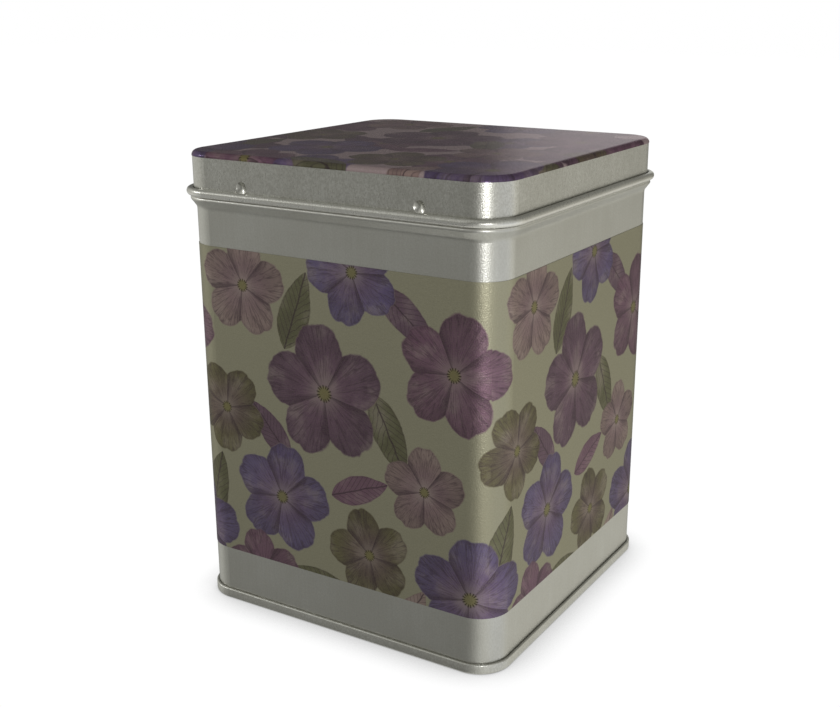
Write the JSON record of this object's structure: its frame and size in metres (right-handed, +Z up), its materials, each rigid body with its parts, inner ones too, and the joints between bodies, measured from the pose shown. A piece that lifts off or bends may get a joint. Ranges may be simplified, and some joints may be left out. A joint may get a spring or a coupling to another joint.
{
  "type": "tea caddy",
  "caption": "Square tinplate tea caddy with rounded corners, a seamed base, a stepped shoulder and a lift-off slip lid with a curled edge and grip dimples.",
  "frame": {"origin": "centre of the base on the plane that the caddy rests on", "axes": "+Z up through the lid, -Y the front face with two grip dimples on the lid, +X to the right seen from the front, the lock seam at the back on +Y"},
  "size_m": [0.1054, 0.1054, 0.1349],
  "materials": {
    "body_metal": "matte tinplate with a fine grain",
    "base_metal": "matte tinplate with a fine grain",
    "lid_metal": "matte tinplate with a fine grain",
    "body_print": "satin printed film with a leaf and blossom pattern",
    "lid_print": "satin printed film with a leaf and blossom pattern"
  },
  "bodies": {
    "tin": {"body_shell": "body_metal", "base_end": "base_metal", "body_print": "body_print"},
    "lid": {"lid_shell": "lid_metal", "lid_print": "lid_print"}
  },
  "joints": [
    {"name": "lid_lift", "type": "slide", "parent": "tin", "child": "lid", "axis": [0, 0, 1], "range_m": [0, 0.04]}
  ]
}
